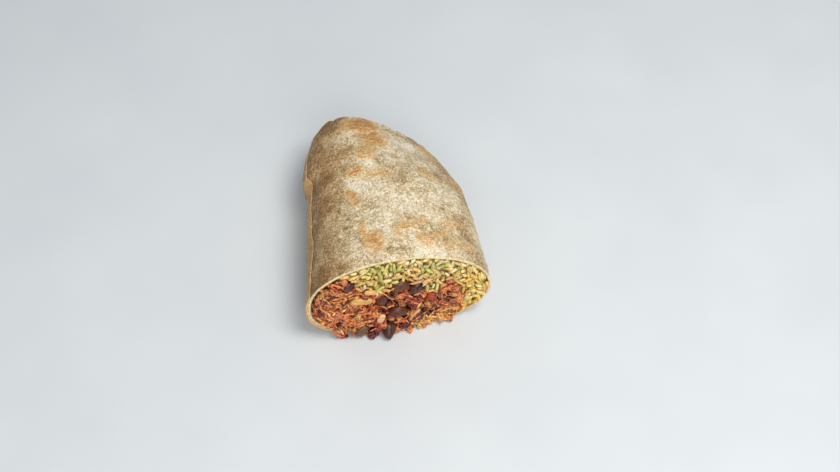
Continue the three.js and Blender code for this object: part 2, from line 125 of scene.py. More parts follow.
def circle(count):
    """Even steps round a full turn."""
    return np.linspace(0.0, 2.0 * np.pi, count, endpoint=False)


def squarer(value, squareness):
    """A signed power, which turns a circle into a squarer oval."""
    return np.sign(value) * np.abs(value) ** (2.0 / squareness)


def roll_points(angle, share, inset, end_inset=None, floor=None):
    """Points on the roll, or inside it by inset. Angles are in radians, 0 at the right side and growing over
    the top; share runs from 0 at the cut to 1 at the folded tip. No point is lower than floor."""
    end_inset = inset if end_inset is None else end_inset
    floor = inset if floor is None else floor
    barrel = LENGTH - END_LENGTH
    barrel_share = barrel / (barrel + END_LENGTH * 1.2)
    turn = np.clip((share - barrel_share) / (1.0 - barrel_share), 0.0, 1.0) * np.pi / 2.0
    capped = barrel + (END_LENGTH - end_inset) * np.sin(turn)
    along = np.where(share < barrel_share, share / barrel_share * barrel, capped)
    across = np.maximum(np.cos(turn), 0.0) ** END_ROUNDNESS_ACROSS
    upright = np.maximum(np.cos(turn), 0.0) ** END_ROUNDNESS_UP

    cos = np.cos(angle)
    sin = np.sin(angle)
    half_width = FACE_WIDTH / 2.0 * (1.0 - WIDTH_TAPER * along / LENGTH) - inset
    rise = smooth(0.3 * LENGTH, LENGTH, along)
    widest = WIDEST_HEIGHT + (WIDEST_HEIGHT_AT_END - WIDEST_HEIGHT) * rise
    shoulder = SHOULDER_DROP * smooth(0.35 * LENGTH, LENGTH, along) * (cos * across + 0.35)
    above = (FACE_HEIGHT - WIDEST_HEIGHT) * (1.0 - TOP_TAPER * along / LENGTH - shoulder) - inset
    below = DEPTH_BELOW_WIDEST - inset

    upper = sin >= 0.0
    sideways = np.where(upper, cos, squarer(cos, BOTTOM_SQUARENESS))
    upwards = np.where(upper, sin * above, squarer(sin, BOTTOM_SQUARENESS) * below)
    crown = CROWN_SHIFT * np.clip(sin, 0.0, 1.0) ** 1.5 * across
    x = half_width * across * sideways - crown + LEAN * along
    z = np.maximum(widest + upwards * upright, floor)
    y = along - END_SLANT * (x - SLANT_CENTRE) * smooth(SLANT_START, LENGTH, along)
    return np.stack(np.broadcast_arrays(x, y, z), axis=-1)


class Lattice:
    """Smooth seeded noise from -1 to 1, read at points in millimetres."""

    SIZE = 32
    # The lattice lies aslant, so that none of its planes follows the roll
    ASLANT = np.array([[0.36, 0.48, -0.8], [-0.8, 0.6, 0.0], [0.48, 0.64, 0.6]])

    def __init__(self, seed):
        self.table = np.random.default_rng(seed).uniform(-1.0, 1.0, (self.SIZE,) * 3)

    def at(self, points, scale):
        place = points @ self.ASLANT / scale
        cell = np.floor(place).astype(int)
        part = place - cell
        part = part * part * (3.0 - 2.0 * part)
        total = np.zeros(points.shape[:-1])
        for corner in range(8):
            step = np.array([corner & 1, corner >> 1 & 1, corner >> 2 & 1])
            index = (cell + step) % self.SIZE
            weight = np.prod(np.where(step, part, 1.0 - part), axis=-1)
            total += weight * self.table[index[..., 0], index[..., 1], index[..., 2]]
        return total

    def layered(self, points, scale, octaves):
        total = np.zeros(points.shape[:-1])
        for octave in range(octaves):
            total += self.at(points + 37.0 * octave, scale / 2.0**octave) / 2.0**octave
        return total


noise = Lattice(5)


def face_outward(mesh):
    """Turns every face of each closed shell in a mesh outward."""
    shells = bmesh.new()
    shells.from_mesh(mesh)
    bmesh.ops.recalc_face_normals(shells, faces=shells.faces)
    shells.to_mesh(mesh)
    shells.free()


def new_mesh(name, points, faces):
    """A mesh from points in millimetres."""
    mesh = bpy.data.meshes.new(name)
    mesh.from_pydata(((points - ORIGIN) * MM).tolist(), [], faces)
    return mesh


def new_object(name, data):
    made = bpy.data.objects.new(name, data)
    bpy.context.scene.collection.objects.link(made)
    return made


def set_tint(mesh, tint):
    """One colour for a mesh, or one for each of its points, in the attribute that the materials read."""
    colours = np.ones((len(mesh.vertices), 4))
    colours[:, :3] = tint
    mesh.attributes.new("tint", "FLOAT_COLOR", "POINT").data.foreach_set("color", colours.ravel())


def add_piece(name, points, faces, material, slot, tint=None, smooth_shaded=True):
    """A mesh piece from points in millimetres, with an optional colour for all or one for each point."""
    mesh = new_mesh(name, points, faces)
    if tint is not None:
        set_tint(mesh, tint)
    mesh.polygons.foreach_set("use_smooth", [smooth_shaded] * len(mesh.polygons))
    mesh.materials.append(material)
    face_outward(mesh)
    piece = new_object(name, mesh)
    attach(piece, "root")
    return piece


def grid_faces(rows, columns, wrapped):
    """Quads of a grid of points, row after row; wrapped joins the last column to the first."""
    faces = []
    for j in range(rows - 1):
        for i in range(columns if wrapped else columns - 1):
            beside = (i + 1) % columns
            row = j * columns
            after = row + columns
            faces.append((row + i, after + i, after + beside, row + beside))
    return faces


def fan_faces(first, count, apex, reverse):
    """Triangles from a ring of points to one apex."""
    faces = []
    for i in range(count):
        beside = (i + 1) % count
        faces.append((first + i, first + beside, apex) if reverse else (first + i, apex, first + beside))
    return faces


def capped_rings(rings, first_tip, last_tip):
    """Points and faces of a closed solid: rings of points in order, and a tip that closes each end."""
    count, around = rings.shape[:2]
    faces = grid_faces(count, around, True)
    faces += fan_faces(0, around, count * around, True)
    faces += fan_faces((count - 1) * around, around, count * around + 1, False)
    return np.concatenate([rings.reshape(-1, 3), [first_tip], [last_tip]]), faces


def grid_normals(points, wrapped=True):
    """Outward normals of a grid of points whose rows run along the roll and columns round it."""
    along = np.gradient(points, axis=0)
    if wrapped:
        around = np.roll(points, -1, axis=1) - np.roll(points, 1, axis=1)
    else:
        around = np.gradient(points, axis=1)
    normal = np.cross(along, around)
    length = np.linalg.norm(normal, axis=-1, keepdims=True)
    return normal / np.maximum(length, 1e-9)


# Materials


class Shader:
    """A node material with one Principled BSDF, and short ways to add nodes to it."""

    def __init__(self, name, roughness, **sockets):
        self.material = bpy.data.materials.new(name)
        self.material.use_nodes = True
        self.tree = self.material.node_tree
        self.bsdf = self.tree.nodes["Principled BSDF"]
        self.bsdf.inputs["Roughness"].default_value = roughness
        for socket, value in sockets.items():
            self.bsdf.inputs[socket.replace("_", " ")].default_value = value
        self.place = self.tree.nodes.new("ShaderNodeTexCoord").outputs["Object"]

    def node(self, kind, inputs=(), **settings):
        made = self.tree.nodes.new(kind)
        for key, value in settings.items():
            setattr(made, key, value)
        for socket, value in dict(inputs).items():
            self.set(made.inputs[socket], value)
        return made

    def set(self, socket, value):
        if isinstance(value, bpy.types.NodeSocket):
            self.tree.links.new(value, socket)
        else:
            socket.default_value = value

    def noise(self, size_mm, detail=3.0, distortion=0.0, roughness=0.5, stretch=None):
        """Noise whose features are about size_mm across, and longer along an axis where stretch says so."""
        place = self.place
        if stretch:
            mapping = self.node("ShaderNodeMapping", {"Vector": place, "Scale": stretch})
            place = mapping.outputs["Vector"]
        inputs = {"Vector": place, "Scale": 1.0 / (size_mm * MM), "Detail": detail}
        inputs.update({"Distortion": distortion, "Roughness": roughness})
        return self.node("ShaderNodeTexNoise", inputs).outputs["Fac"]

    def steps(self, value, *stops):
        """A ramp: each stop is a position and a grey, or a colour as from_srgb takes it."""
        ramp = self.node("ShaderNodeValToRGB", {"Fac": value})
        while len(ramp.color_ramp.elements) < len(stops):
            ramp.color_ramp.elements.new(0.5)
        for element, (position, colour) in zip(ramp.color_ramp.elements, stops):
            element.position = position
            level = from_srgb(*colour) if isinstance(colour, tuple) else (colour,) * 3
            element.color = (*level, 1.0)
        return ramp.outputs["Color"]

    def mix(self, share, first, second, blend="MIX"):
        """Two sockets mixed, or a socket and a colour as from_srgb takes it."""
        made = self.node("ShaderNodeMix", data_type="RGBA", blend_type=blend)
        self.set(made.inputs["Factor"], share)
        for socket, value in ((made.inputs["A"], first), (made.inputs["B"], second)):
            self.set(socket, (*from_srgb(*value), 1.0) if isinstance(value, tuple) else value)
        return made.outputs["Result"]

    def maths(self, operation, first, second=0.5, third=0.5, clamp=False):
        made = self.node("ShaderNodeMath", operation=operation, use_clamp=clamp)
        for socket, value in zip(made.inputs, (first, second, third)):
            self.set(socket, value)
        return made.outputs["Value"]

    def total(self, plus, *terms):
        """A constant plus a sum of sockets, each times its factor."""
        for value, factor in terms:
            plus = self.maths("MULTIPLY_ADD", value, factor, plus)
        return plus

    def tint(self):
        return self.node("ShaderNodeAttribute", attribute_name="tint").outputs["Color"]

    def finish(self, colour, *reliefs):
        """The material in a colour, with reliefs on it: height, its size in millimetres, and strength."""
        self.set(self.bsdf.inputs["Base Color"], colour)
        normal = self.bsdf.inputs["Normal"]
        for height, size_mm, strength in reversed(reliefs):
            inputs = {"Height": height, "Distance": size_mm * MM, "Strength": strength}
            made = self.node("ShaderNodeBump", inputs)
            self.set(normal, made.outputs["Normal"])
            normal = made.inputs["Normal"]
        return self.material


def translucent(weight, scale, radius):
    """Sockets for light that passes below the surface: how much, how deep in metres, and in which colours."""
    return {"Subsurface_Weight": weight, "Subsurface_Scale": scale, "Subsurface_Radius": radius}


def wet_film(weight, roughness):
    """Sockets for a wet film."""
    return {"Coat_Weight": weight, "Coat_Roughness": roughness}


def from_srgb(red, green, blue):
    """A colour named as it looks on screen, 0 to 255, as the linear values that a shader takes."""
    values = []
    for level in (red, green, blue):
        share = level / 255.0
        values.append(share / 12.92 if share <= 0.04045 else ((share + 0.055) / 1.055) ** 2.4)
    return tuple(values)


def tortilla_material():
    """Floury skin, mottled, with golden toasted patches; darker and golden where it is steam-softened and
    where painted shade and painted warm reflected light lie. The tint holds how toasted it is in red, how far
    it is cut or inner surface in green (which also paints a strip of warm reflected light along the flap's
    free edge), and in blue how steam-softened it is, together with the painted shade and warm reflected
    light."""
    shader = Shader("tortilla_skin", 0.7, **translucent(0.1, 0.003, (1.0, 0.6, 0.3)))
    parts = shader.node("ShaderNodeSeparateColor", {"Color": shader.tint()})
    toast = parts.outputs["Red"]
    cut = parts.outputs["Green"]
    damp_and_light = parts.outputs["Blue"]

    broad = shader.noise(11.0, 3.0, 0.5)
    middle = shader.noise(3.4, 4.0, 0.8, 0.6)
    fine = shader.noise(1.15, 4.0, 0.6, 0.7)
    speckle = shader.noise(0.6, 2.0, 0.0, 0.6)
    # Where the blue channel is high the skin is darker: steam-softened skin, and painted shade and painted
    # warm reflected light
    floury = shader.total(-0.28, (broad, 0.35), (middle, 0.3), (fine, 0.6), (speckle, 0.46), (damp_and_light, -0.13))
    colour = shader.steps(
        floury,
        (0.4, (140, 112, 72)),
        (0.49, (186, 163, 120)),
        (0.57, (216, 200, 166)),
        (0.67, (249, 241, 220)),
    )
    # The blue channel also gilds the skin: steam-softened skin, and painted warm reflected light
    colour = shader.mix(shader.maths("MULTIPLY", damp_and_light, 0.6), colour, (214, 166, 84), "MULTIPLY")

    ragged = shader.noise(2.6, 5.0, 0.9, 0.7)
    wrinkles = shader.noise(0.8, 4.0, 0.35, 0.65, stretch=(0.25, 1.25, 1.0))
    inside = shader.steps(toast, (0.08, 0.0), (0.4, 1.0))
    level = shader.total(-3.51, (ragged, 1.5), (wrinkles, 3.4), (speckle, 2.0), (toast, 0.95))
    level = shader.maths("MULTIPLY", level, inside, clamp=True)
    golden = shader.steps(fine, (0.4, (208, 162, 92)), (0.6, (244, 214, 156)))
    colour = shader.mix(shader.steps(level, (0.0, 0.0), (0.5, 0.8)), colour, golden)
    colour = shader.mix(shader.steps(level, (0.5, 0.0), (1.0, 0.72)), colour, (202, 140, 74))
    colour = shader.mix(shader.steps(level, (0.92, 0.0), (1.0, 0.5)), colour, (142, 94, 48))
    speck_place = shader.noise(1.3, 2.0)
    specks = shader.steps(speck_place, (0.71, 0.0), (0.75, 0.7))
    colour = shader.mix(shader.maths("MULTIPLY", specks, middle), colour, (150, 98, 52))

    crumb = shader.steps(fine, (0.38, (220, 194, 140)), (0.62, (242, 228, 186)))
    # Cut surfaces turn orange-gold with the blue channel: a real oil stain low inside the wrap, and painted
    # warm reflected light in the strip along the flap's free edge
    crumb = shader.mix(damp_and_light, crumb, (222, 150, 58))
    colour = shader.mix(cut, colour, crumb)

    return shader.finish(
        colour,
        (shader.noise(4.5, 3.0, 0.4), 0.6, 0.5),
        (shader.noise(1.2, 4.0, 0.5, 0.65), 0.3, 0.8),
        (wrinkles, 0.25, 0.5),
        (shader.noise(0.35, 2.0), 0.06, 0.5),
    )


def rice_material():
    """Moist grains: tint holds each grain's own colour."""
    shader = Shader("cooked_rice", 0.36, **translucent(0.3, 0.0016, (1.0, 0.8, 0.35)), **wet_film(0.25, 0.22))
    own = shader.tint()
    cloud = shader.steps(shader.noise(1.6, 3.0), (0.35, 0.72), (0.66, 1.1))
    colour = shader.mix(1.0, own, cloud, "MULTIPLY")
    return shader.finish(colour, (shader.noise(0.5, 3.0), 0.08, 0.6))


def meat_material():
    """Shredded meat in sauce: fibres, a wet film and specks of fat; tint holds each piece's own colour."""
    below = translucent(0.12, 0.0012, (1.0, 0.35, 0.15))
    shader = Shader("shredded_meat", 0.42, **below, **wet_film(0.35, 0.18))
    own = shader.tint()
    dark = shader.steps(shader.noise(1.5, 5.0, 0.9, 0.7), (0.37, 0.2), (0.6, 1.4))
    colour = shader.mix(1.0, own, dark, "MULTIPLY")
    fat = shader.steps(shader.noise(1.1, 3.0, 0.6), (0.62, 0.0), (0.72, 0.55))
    colour = shader.mix(fat, colour, (222, 156, 104))
    fibre = shader.noise(0.55, 4.0, 1.2, 0.7, stretch=(0.4, 1.0, 1.3))
    return shader.finish(colour, (fibre, 0.35, 0.9), (shader.noise(0.25, 2.0), 0.06, 0.6))


def bean_material():
    """Dark skin with a soft gloss and brown veils of starch."""
    shader = Shader("black_bean_skin", 0.38, Specular_IOR_Level=0.3, **wet_film(0.2, 0.16))
    own = shader.tint()
    veil = shader.steps(shader.noise(2.2, 5.0, 1.0, 0.65), (0.46, 0.0), (0.7, 0.45))
    colour = shader.mix(veil, own, (152, 96, 54))
    wrinkle = shader.noise(1.0, 3.0, 1.4, stretch=(0.5, 1.0, 1.4))
    return shader.finish(colour, (wrinkle, 0.18, 0.6))


def onion_material():
    """Cooked onion: pale amber flesh that light passes through."""
    shader = Shader("cooked_onion", 0.22, **translucent(0.55, 0.003, (1.0, 0.65, 0.3)), **wet_film(0.4, 0.12))
    own = shader.tint()
    veins = shader.steps(shader.noise(1.4, 3.0, 0.5, stretch=(0.25, 1.0, 1.6)), (0.35, 0.75), (0.7, 1.08))
    colour = shader.mix(1.0, own, veins, "MULTIPLY")
    return shader.finish(colour, (shader.noise(0.8, 2.0, 0.3, stretch=(0.25, 1.0, 1.6)), 0.12, 0.6))


def herb_material():
    shader = Shader("herb_leaf", 0.4, Subsurface_Weight=0.2, Subsurface_Scale=0.001)
    own = shader.tint()
    veins = shader.steps(shader.noise(0.6, 2.0), (0.3, 0.8), (0.7, 1.15))
    return shader.finish(shader.mix(1.0, own, veins, "MULTIPLY"), (shader.noise(0.4), 0.05, 0.6))


def floor_material():
    shader = Shader("pale_floor", 0.75)
    cloud = shader.noise(60.0, 2.0)
    return shader.finish(shader.steps(cloud, (0.3, (214, 222, 230)), (0.7, (219, 227, 234))))


TORTILLA = tortilla_material()
RICE = rice_material()
MEAT = meat_material()
BEAN = bean_material()
ONION = onion_material()
HERB = herb_material()


# Tortilla

WRAP_AROUND = 320
WRAP_ALONG = 230
INSIDE_ALONG = 40
# The rim's section: share of the way through the layer, and how far behind the cut
RIM_PROFILE = ((0.0, 0.25), (0.12, 0.06), (0.35, 0.0), (0.55, 0.02), (0.8, 0.0), (0.94, 0.12), (1.0, 0.4))

# Toasted patches that show: across and along the roll, half sizes, strength. The first two are deeper than
# their toasting: part of their brown is painted shadow
TOAST_SPOTS = (
    (-2.0, 90.0, 9.5, 8.0, 1.2),
    (2.0, 78.0, 7.0, 9.0, 1.05),
    (-3.5, 67.0, 5.5, 6.0, 0.8),
    (-9.5, 56.0, 4.2, 3.4, 1.0),
    (-1.0, 51.5, 8.0, 3.6, 0.72),
    (-14.0, 41.5, 2.2, 5.0, 1.0),
    (-12.5, 35.5, 3.2, 2.4, 0.85),
    (-13.0, 21.5, 2.4, 5.0, 0.85),
    (-8.5, 12.5, 5.0, 7.0, 1.05),
    (2.5, 15.5, 2.0, 4.0, 0.85),
    (8.0, 17.5, 6.5, 2.0, 0.8),
    (14.0, 10.0, 5.0, 4.5, 0.85),
    (14.5, 21.5, 4.2, 1.8, 0.8),
    (23.0, 6.0, 3.0, 1.6, 0.7),
    (21.0, 14.0, 6.0, 2.0, 0.62),
    (30.0, 9.0, 7.0, 4.0, 0.42),
    (27.0, 20.0, 6.0, 3.0, 0.42),
    (30.5, 8.2, 1.0, 0.8, 1.2),
)
HIDDEN_TOAST_COUNT = 34
# Where the scattered patches lie, in degrees round the roll, and the share of them on the right and below
TOAST_RIGHT = (-125.0, 62.0)
TOAST_LEFT = (150.0, 235.0)
TOAST_RIGHT_SHARE = 0.72


def toast_level(points):
    """How toasted the skin is at each point: the patches that show, and scattered ones elsewhere."""
    warps = []
    for offset in (0.0, 91.0):
        warps.append(2.0 * noise.at(points + offset, 6.0) + 1.1 * noise.at(points + offset, 2.1))
    warp = np.stack(warps, axis=-1)
    x = points[..., 0] + warp[..., 0]
    y = points[..., 1] + warp[..., 1]
    top = smooth(12.0, 24.0, points[..., 2])
    level = np.zeros(points.shape[:-1])
    for spot_x, spot_y, half_x, half_y, strength in TOAST_SPOTS:
        away = np.sqrt(((x - spot_x) / half_x) ** 2 + ((y - spot_y) / half_y) ** 2)
        level = np.maximum(level, strength * (1.0 - smooth(0.35, 1.35, away)) * top)
    random = np.random.default_rng(17)
    for _ in range(HIDDEN_TOAST_COUNT):
        on_right = random.random() < TOAST_RIGHT_SHARE
        spot_angle = math.radians(random.uniform(*(TOAST_RIGHT if on_right else TOAST_LEFT)))
        spot_share = random.uniform(0.04, 0.9)
        spot = roll_points(np.array(spot_angle), np.array(spot_share), 0.0, floor=0.0)
        size = random.uniform(2.0, 6.0)
        strength = random.uniform(0.5, 0.95)
        warped = points + np.concatenate([warp, warp[..., :1]], -1) * 0.8
        away = np.linalg.norm(warped - spot, axis=-1) / size
        level = np.maximum(level, strength * (1.0 - smooth(0.5, 1.3, away)))
    return level


def damp_and_painted_light(points, angles, shares):
    """How steam-softened the skin looks, and painted light: painted shade and painted warm reflected light
    darken and gild the left side, painted warm reflected light tints the right side above its widest line,
    the skin darkens towards the folded end, and broad mottled patches lie elsewhere.
    """
    degrees = np.degrees(angles)
    # Painted shade and painted warm reflected light on the left side
    left = between(degrees, 98.0, 140.0, 200.0, 240.0)
    # Painted warm reflected light on the right side, from its widest line up
    right = 0.3 * (1.0 - smooth(40.0, 75.0, degrees))
    end = 0.34 * smooth(0.84, 0.93, shares)
    clouds = 0.36 * noise.at(points + 15.0, 17.0) + 0.18 * noise.at(points, 7.0)
    calm = 1.0 - 0.8 * (1.0 - smooth(35.0, 80.0, degrees)) * (1.0 - smooth(0.15, 0.4, shares))
    return np.clip(left * 0.95 + right + end + clouds * calm, 0.0, 1.0)


def lap_inset(angles, shares):
    """How far the main turn lies inside the flap that covers it from the seam down and under."""
    degrees = np.degrees(angles)
    start = flap_edge(shares)
    around = between(degrees, start - 14.0, start + 24.0, 240.0, 300.0)
    return LAP * around * lap_fade(shares)


def lap_fade(shares):
    """The lap thins out over the folded end."""
    return 1.0 - 0.85 * smooth(LAP_START, LAP_FADE, shares)


def end_fold(points, angles, shares):
    """Depth of the spiral of tucked layers on the folded end, each turn lying lower than the one round it."""
    towards_tip = 1.0 - smooth(0.9, 0.985, shares)
    swirl = (np.degrees(angles) - FOLD_ANGLE) % 360.0 / 360.0
    turns = TUCK_TURNS * smooth(TUCK_START, 1.0, shares) + swirl - TUCK_OFFSET
    turns = turns + 0.08 * noise.at(points, 9.0) * towards_tip
    step = np.floor(turns) + smooth(0.0, 0.07, turns % 1.0)
    lip = 0.5 * np.exp(-((((turns + 0.1) % 1.0) - 0.06) ** 2) / 0.004)
    return TURN_DEPTH * np.maximum(step, 0.0) - lip * smooth(0.6, 0.86, shares) * towards_tip * (turns > -0.2)


def skin_relief(points, angles, shares, toast):
    """Soft lumps over the filling, creases towards the end, and blisters where it is toasted."""
    off_rim = smooth(0.0, 0.05, shares)
    lumps = 0.6 * noise.at(points, 14.0) + 0.34 * noise.at(points + 50.0, 6.0)
    fine = 0.16 * noise.at(points + 20.0, 2.6) + 0.08 * noise.at(points + 80.0, 1.3)
    pulled = np.stack(np.broadcast_arrays(np.degrees(angles) * 0.55, shares * 26.0, 0.0), axis=-1)
    creases = 1.0 - np.abs(noise.at(pulled + 9.0, 7.0))
    creases = -0.7 * smooth(0.85, 1.0, creases) * smooth(0.5, 0.85, shares)
    blisters = 0.3 * toast * (0.7 + 0.6 * noise.at(points, 2.0))
    towards_tip = 1.0 - smooth(0.9, 0.985, shares)
    return (lumps * off_rim + fine * (0.4 + 0.6 * off_rim) + creases + blisters) * towards_tip


def wrap_main():
    """The main turn of the tortilla, shut at the back: outer skin, rounded cut rim, inner skin."""
    angles = circle(WRAP_AROUND)[None, :]
    shares = np.linspace(0.0, 0.997, WRAP_ALONG)[:, None]
    lap = lap_inset(angles, shares)
    plain = roll_points(angles, shares, lap, lap, floor=lap)
    fold = end_fold(plain, angles, shares)
    toast = toast_level(plain)
    relief = skin_relief(plain, angles, shares, toast)
    outer = plain + grid_normals(plain) * (relief - fold + side_swell(angles, shares))[..., None]
    outer[..., 2] = np.maximum(outer[..., 2], lap)

    # The cut rim, from the outer skin round to the inner one
    rim_rows = []
    wobble = 0.22 * noise.at(plain[:1], 3.0)
    for through, behind in RIM_PROFILE:
        inset = lap[:1] + LAYER * through
        ring = roll_points(angles, np.zeros((1, 1)), inset, floor=inset)
        ring[..., 1] = behind + wobble * (1.0 - abs(2.0 * through - 1.0) * 0.4)
        rim_rows.append(ring)
    rim = np.concatenate(rim_rows[::-1], axis=0)

    inside_shares = np.linspace(0.012, 0.99, INSIDE_ALONG)[::-1][:, None]
    inner_inset = lap_inset(angles, inside_shares) + LAYER
    inner = roll_points(angles, inside_shares, inner_inset, END_WALL + 3.0, floor=inner_inset)

    rows = np.concatenate([inner, rim, outer[1:]], axis=0)
    points, faces = capped_rings(rows, rows[0].mean(0), rows[-1].mean(0))

    tint = np.zeros((len(points), 3))
    inner_count = (INSIDE_ALONG + len(rim_rows)) * WRAP_AROUND
    outer_slice = slice(inner_count, inner_count + (WRAP_ALONG - 1) * WRAP_AROUND)
    tint[outer_slice, 0] = toast[1:].reshape(-1)
    tint[outer_slice, 2] = damp_and_painted_light(plain, angles, shares)[1:].reshape(-1)
    tint[: inner_count, 1] = 1.0
    rim_grain = 0.5 + 0.5 * noise.layered(points[INSIDE_ALONG * WRAP_AROUND : inner_count], 1.6, 2)
    tint[INSIDE_ALONG * WRAP_AROUND : inner_count, 1] = np.clip(0.25 + 0.9 * rim_grain, 0.2, 1.0)
    low = 1.0 - smooth(14.0, 34.0, points[: inner_count, 2])
    tint[: inner_count - 4 * WRAP_AROUND, 2] = (0.15 + 0.5 * low)[: inner_count - 4 * WRAP_AROUND]
    return add_piece("tortilla_turn", points, faces, TORTILLA, "tortilla", tint)


FLAP_AROUND = 110
FLAP_ALONG = 260
FLAP_END_ANGLE = 318.0
EDGE_ROUNDING = 0.22


def flap_edge(shares):
    """The free edge's angle along the roll: it drops beyond the nick, and rises to a rounded back corner."""
    wave = 1.6 * np.sin(shares * 19.0 + 1.0) + 0.7 * np.sin(shares * 47.0)
    drop = 2.5 * smooth(NICK_SHARE, NICK_SHARE + NICK_WIDTH, shares)
    corner = 18.0 * smooth(0.76, 0.86, shares) - 15.0 * smooth(0.885, 0.93, shares)
    return SEAM_ANGLE + wave + drop - corner


def flap_lift(shares):
    """How far the free edge stands off: hardly at all, but for the back corner."""
    corner = between(shares, 0.74, 0.8, 0.83, 0.9)
    return 0.16 + 0.04 * np.sin(shares * 40.0) + 0.65 * corner


def side_swell(angles, shares):
    """How far the left side stands out beyond the nick, or in, where it narrows from the cut to the nick."""
    degrees = np.degrees(angles)
    on_side = between(degrees, 125.0, 160.0, 180.0, 225.0)
    nick_end = NICK_SHARE + NICK_WIDTH
    narrowing = SIDE_NARROWING * between(shares, 0.0, NICK_SHARE, NICK_SHARE, nick_end)
    swelling = SIDE_SWELL * between(shares, NICK_SHARE, nick_end, 0.62, 0.8)
    return on_side * (swelling - narrowing)


def wrap_flap():
    """The outermost stretch of the tortilla: it comes from underneath and ends in a free edge on the left."""
    shares = np.linspace(0.0, 0.93, FLAP_ALONG)[:, None]
    edge = flap_edge(shares)
    spread = np.linspace(0.0, 1.0, FLAP_AROUND)[None, :] ** 1.6
    degrees = edge + (FLAP_END_ANGLE - edge) * spread
    angles = np.radians(degrees)
    outer = roll_points(angles, shares, 0.0, floor=0.0)
    normals = grid_normals(outer, False)
    lift = flap_lift(shares) * (1.0 - smooth(0.0, 22.0, degrees - edge))
    fade = 1.0 - smooth(250.0, 312.0, degrees)
    thickness = np.maximum(lap_inset(angles, shares), 0.3) * fade
    # The flap follows the lumps of the turn under it
    relief = skin_relief(outer, angles, shares, 0.0)
    outer = outer + normals * (lift + relief + side_swell(angles, shares))[..., None]
    outer[..., 2] = np.maximum(outer[..., 2], 0.0)
    tuck = 0.5 * smooth(268.0, 300.0, degrees)
    inner = outer - normals * (thickness + tuck)[..., None]
    rounding = EDGE_ROUNDING * side_way(outer)
    upper = outer[:, :1] * 0.75 + inner[:, :1] * 0.25 - rounding
    lower = outer[:, :1] * 0.25 + inner[:, :1] * 0.75 - rounding
    # One closed loop of points for each place along the roll: outer skin, then back along the inner one
    loop = np.concatenate([outer, inner[:, ::-1], lower, upper], axis=1)
    rows, columns = loop.shape[:2]
    points = loop.reshape(-1, 3)
    faces = grid_faces(rows, columns, True)
    faces += strip_caps(FLAP_AROUND, 0, False)
    faces += strip_caps(FLAP_AROUND, (rows - 1) * columns, True)
    toast = toast_level(outer) * 0.8
    tint_grid = np.zeros((rows, columns, 3))
    # A painted strip of warm reflected light: the skin next to the free edge takes the golden cut colour
    reflected_light_strip = 1.0 - smooth(10.0, 38.0, degrees - edge)
    tint_grid[:, :FLAP_AROUND, 0] = toast
    tint_grid[:, :FLAP_AROUND, 1] = (0.42 + 0.3 * noise.layered(outer, 6.0, 3)) * reflected_light_strip
    tint_grid[:, :FLAP_AROUND, 2] = np.clip(damp_and_painted_light(outer, angles, shares), 0.0, 0.75)
    tint_grid[:, FLAP_AROUND:, 1] = 0.7
    tint_grid[:, FLAP_AROUND:, 2] = 0.4
    tint_grid[:2, :, 1] = 1.0
    return add_piece("tortilla_flap", points, faces, TORTILLA, "tortilla", tint_grid.reshape(-1, 3))


def side_way(outer):
    """Unit steps round the roll at the flap's free edge, away from the edge."""
    step = outer[:, 1:2] - outer[:, :1]
    return step / np.maximum(np.linalg.norm(step, axis=-1, keepdims=True), 1e-9)


def strip_caps(strip, first, reverse):
    """Faces that close the end of a loop made of an outer strip and the inner one walked backwards."""
    faces = []
    for i in range(strip - 1):
        a, b = first + i, first + i + 1
        c, d = first + 2 * strip - 2 - i, first + 2 * strip - 1 - i
        faces.append((a, d, c, b) if reverse else (a, b, c, d))
    edge = [first, first + 2 * strip - 1, first + 2 * strip, first + 2 * strip + 1]
    faces.append(tuple(edge) if not reverse else tuple(edge[::-1]))
    return faces


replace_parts(wrap_main(), "tortilla")
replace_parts(wrap_flap(), "tortilla")


# Where the fillings lie on the cut

MEAT_LINE = (
    (-34, 54), (-28, 44), (-22, 40), (-18.5, 33), (-12.5, 30), (-7, 28.5), (-3, 33), (2, 35), (8, 32),
    (11.5, 25), (15.5, 21), (19, 26), (22.5, 29.5), (26, 26.5), (28, 18), (27, 8), (25, -6),
)
MEAT_LEFT = -60.0
MEAT_FLOOR = -10.0
MEAT_PROUD = 0.5
SPILL = 3.5
SPILL_HEIGHT = 22.0


def rounded_line(corners, steps):
    """A smooth curve through the corners, by the Catmull-Rom formula."""
    knots = np.array([corners[0], *corners, corners[-1]], float)
    points = []
    for i in range(len(corners) - 1):
        before, start, end, after = knots[i : i + 4]
        for t in np.linspace(0.0, 1.0, steps, endpoint=False):
            square = (2 * before - 5 * start + 4 * end - after) * t * t
            cube = (3 * start - before - 3 * end + after) * t**3
            points.append(0.5 * (2 * start + (end - before) * t + square + cube))
    points.append(knots[-1])
    return np.array(points)


meat_line = rounded_line(MEAT_LINE, 6)
meat_outline = np.concatenate([meat_line, [(MEAT_LEFT, MEAT_FLOOR), (MEAT_LEFT, 54.0)]])


def in_meat(x, z):
    """Whether a point of the cut lies on the meat's side of the line."""
    inside = False
    previous = meat_outline[-1]
    for corner in meat_outline:
        if (corner[1] > z) != (previous[1] > z):
            share = (z - corner[1]) / (previous[1] - corner[1])
            if x < corner[0] + share * (previous[0] - corner[0]):
                inside = not inside
        previous = corner
    return inside


def off_meat(x, z):
    return not in_meat(x, z)


def near(x, z, middle_x, middle_z, half_x, half_z):
    """1 in the middle of an oval on the cut, and falling off to 0 outside it."""
    return math.exp(-(((x - middle_x) / half_x) ** 2) - ((z - middle_z) / half_z) ** 2)


def to_meat_line(x, z):
    """Distance on the cut from the line between meat and rice."""
    return float(np.min(np.hypot(meat_line[:, 0] - x, meat_line[:, 1] - z)))


